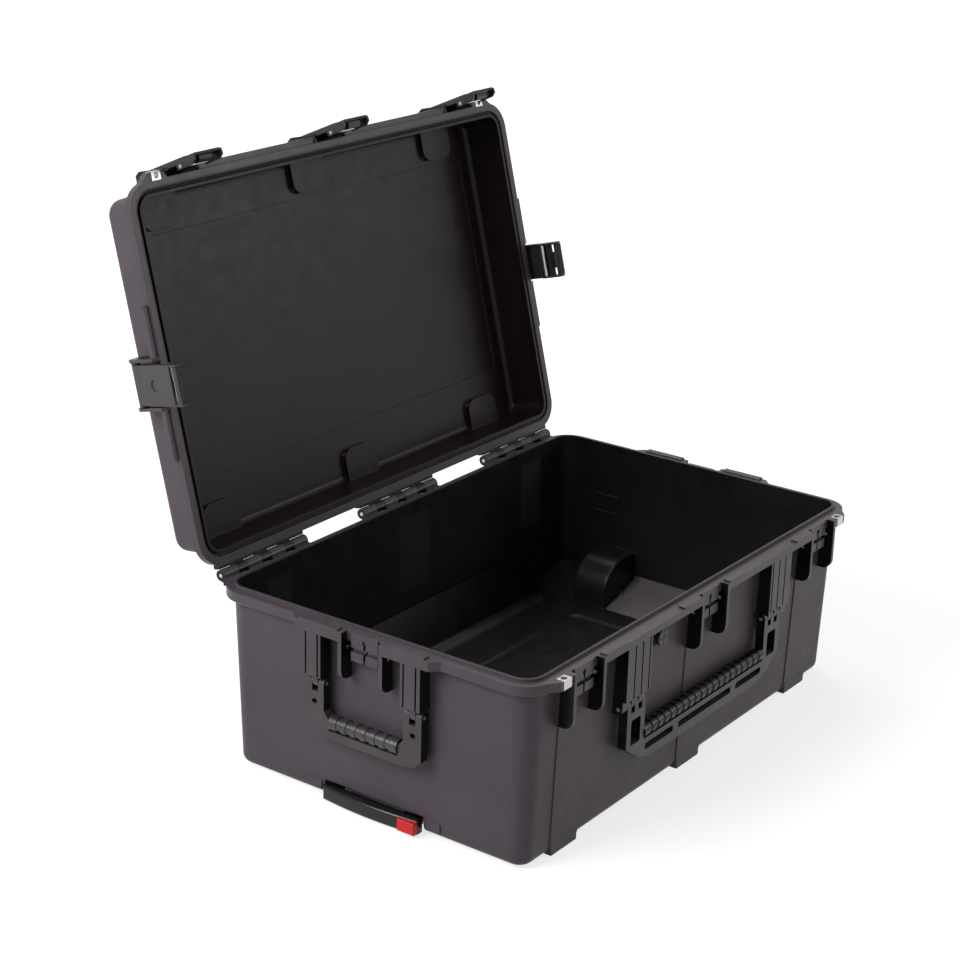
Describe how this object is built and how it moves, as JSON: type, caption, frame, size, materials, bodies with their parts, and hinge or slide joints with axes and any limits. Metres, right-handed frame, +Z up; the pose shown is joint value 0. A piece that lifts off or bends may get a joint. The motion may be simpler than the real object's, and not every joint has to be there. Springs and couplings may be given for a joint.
{
  "type": "waterproof utility case",
  "caption": "Wheeled waterproof utility case with hinged lid, pocketed latches, folding carry handles, pull-out tow handle and a sealed rim.",
  "frame": {"origin": "centre of the base's footprint, on the surface it stands on", "axes": "+X along the length towards the wheels, +Y towards the hinges, +Z up; the lid rests open as pictured"},
  "size_m": [0.8394, 0.6988, 0.783],
  "materials": {
    "shell_plastic": "fine moulded grain",
    "fitting_plastic": "satin moulded",
    "trigger_plastic": "satin moulded",
    "grip_rubber": "ribbed matte",
    "tow_gloss": "glossy",
    "button_red": "satin",
    "steel": "brushed",
    "tube_aluminium": "anodised",
    "gasket_rubber": "matte",
    "wheel_tyre": "matte"
  },
  "bodies": {
    "base": {"base_shell": "shell_plastic", "hinge_pins": "steel", "handle_pins": "steel", "padlock_inserts_base": "steel", "valve_body": "fitting_plastic", "valve_cap": "fitting_plastic", "tow_outer_tubes": "tube_aluminium", "tow_cover": "fitting_plastic", "cover_screws": "steel", "wheel_axles": "steel"},
    "lid": {"lid_shell": "shell_plastic", "lid_gasket": "gasket_rubber", "padlock_inserts_lid": "steel", "latch_pins": "steel"},
    "front_handle": {"handle_front": "fitting_plastic", "grip_front": "grip_rubber"},
    "end_handle_left": {"handle_end_left": "fitting_plastic", "grip_end_left": "grip_rubber"},
    "end_handle_right": {"handle_end_right": "fitting_plastic", "grip_end_right": "grip_rubber"},
    "tow_handle": {"tow_grip": "tow_gloss", "tow_inner_tubes": "tube_aluminium", "tow_glides": "fitting_plastic"},
    "tow_button": {"tow_button": "button_red"},
    "wheel_left": {"wheel_hub_left": "fitting_plastic", "wheel_tyre_left": "wheel_tyre", "wheel_bush_left": "fitting_plastic"},
    "wheel_right": {"wheel_hub_right": "fitting_plastic", "wheel_tyre_right": "wheel_tyre", "wheel_bush_right": "fitting_plastic"},
    "latch_front_left": {"latch_front_left": "fitting_plastic", "bar_front_left": "steel"},
    "trigger_front_left": {"trigger_front_left": "trigger_plastic"},
    "latch_front_mid": {"latch_front_mid": "fitting_plastic", "bar_front_mid": "steel"},
    "trigger_front_mid": {"trigger_front_mid": "trigger_plastic"},
    "latch_front_right": {"latch_front_right": "fitting_plastic", "bar_front_right": "steel"},
    "trigger_front_right": {"trigger_front_right": "trigger_plastic"},
    "latch_end_left": {"latch_end_left": "fitting_plastic", "bar_end_left": "steel"},
    "trigger_end_left": {"trigger_end_left": "trigger_plastic"},
    "latch_end_right": {"latch_end_right": "fitting_plastic", "bar_end_right": "steel"},
    "trigger_end_right": {"trigger_end_right": "trigger_plastic"}
  },
  "joints": [
    {"name": "lid_hinge", "type": "hinge", "parent": "base", "child": "lid", "pos_m": [0, 0.2605, 0.254], "axis": [1, 0, 0], "range_deg": [0, 104]},
    {"name": "front_handle_hinge", "type": "hinge", "parent": "base", "child": "front_handle", "pos_m": [0, -0.2455, 0.158], "axis": [-1, 0, 0], "range_deg": [0, 90]},
    {"name": "end_handle_left_hinge", "type": "hinge", "parent": "base", "child": "end_handle_left", "pos_m": [-0.3925, 0, 0.17], "axis": [0, 1, 0], "range_deg": [0, 90]},
    {"name": "end_handle_right_hinge", "type": "hinge", "parent": "base", "child": "end_handle_right", "pos_m": [0.3925, 0, 0.17], "axis": [0, -1, 0], "range_deg": [0, 90]},
    {"name": "tow_slide", "type": "slide", "parent": "base", "child": "tow_handle", "axis": [-1, 0, 0], "range_m": [0, 0.4]},
    {"name": "tow_button_press", "type": "slide", "parent": "tow_handle", "child": "tow_button", "axis": [1, 0, 0], "range_m": [0, 0.0025], "stiffness_N_per_m": 800, "springref_m": -0.002},
    {"name": "wheel_left_spin", "type": "hinge", "parent": "base", "child": "wheel_left", "pos_m": [0.341, 0.1235, 0.042], "axis": [0, 1, 0], "continuous": true},
    {"name": "wheel_right_spin", "type": "hinge", "parent": "base", "child": "wheel_right", "pos_m": [0.341, -0.1235, 0.042], "axis": [0, 1, 0], "continuous": true},
    {"name": "latch_front_left_hinge", "type": "hinge", "parent": "lid", "child": "latch_front_left", "pos_m": [-0.292, 0.425, 0.74015], "axis": [-1, 0, 0], "range_deg": [-10, 80]},
    {"name": "trigger_front_left_hinge", "type": "hinge", "parent": "latch_front_left", "child": "trigger_front_left", "pos_m": [-0.292, 0.34836, 0.777], "axis": [-1, 0, 0], "range_deg": [0, 22], "stiffness_Nm_per_rad": 0.05, "springref_deg": -17.19},
    {"name": "latch_front_mid_hinge", "type": "hinge", "parent": "lid", "child": "latch_front_mid", "pos_m": [0, 0.425, 0.74015], "axis": [-1, 0, 0], "range_deg": [-10, 80]},
    {"name": "trigger_front_mid_hinge", "type": "hinge", "parent": "latch_front_mid", "child": "trigger_front_mid", "pos_m": [0, 0.34836, 0.777], "axis": [-1, 0, 0], "range_deg": [0, 22], "stiffness_Nm_per_rad": 0.05, "springref_deg": -17.19},
    {"name": "latch_front_right_hinge", "type": "hinge", "parent": "lid", "child": "latch_front_right", "pos_m": [0.292, 0.425, 0.74015], "axis": [-1, 0, 0], "range_deg": [-10, 80]},
    {"name": "trigger_front_right_hinge", "type": "hinge", "parent": "latch_front_right", "child": "trigger_front_right", "pos_m": [0.292, 0.34836, 0.777], "axis": [-1, 0, 0], "range_deg": [0, 22], "stiffness_Nm_per_rad": 0.05, "springref_deg": -17.19},
    {"name": "latch_end_left_hinge", "type": "hinge", "parent": "lid", "child": "latch_end_left", "pos_m": [-0.398, 0.36427, 0.4966], "axis": [0, -0.2419, -0.9703], "range_deg": [-10, 80]},
    {"name": "trigger_end_left_hinge", "type": "hinge", "parent": "latch_end_left", "child": "trigger_end_left", "pos_m": [-0.41522, 0.28347, 0.51675], "axis": [0, -0.2419, -0.9703], "range_deg": [0, 22], "stiffness_Nm_per_rad": 0.05, "springref_deg": -17.19},
    {"name": "latch_end_right_hinge", "type": "hinge", "parent": "lid", "child": "latch_end_right", "pos_m": [0.398, 0.36427, 0.4966], "axis": [0, 0.2419, 0.9703], "range_deg": [-10, 80]},
    {"name": "trigger_end_right_hinge", "type": "hinge", "parent": "latch_end_right", "child": "trigger_end_right", "pos_m": [0.41522, 0.28347, 0.51675], "axis": [0, 0.2419, 0.9703], "range_deg": [0, 22], "stiffness_Nm_per_rad": 0.05, "springref_deg": -17.19}
  ]
}
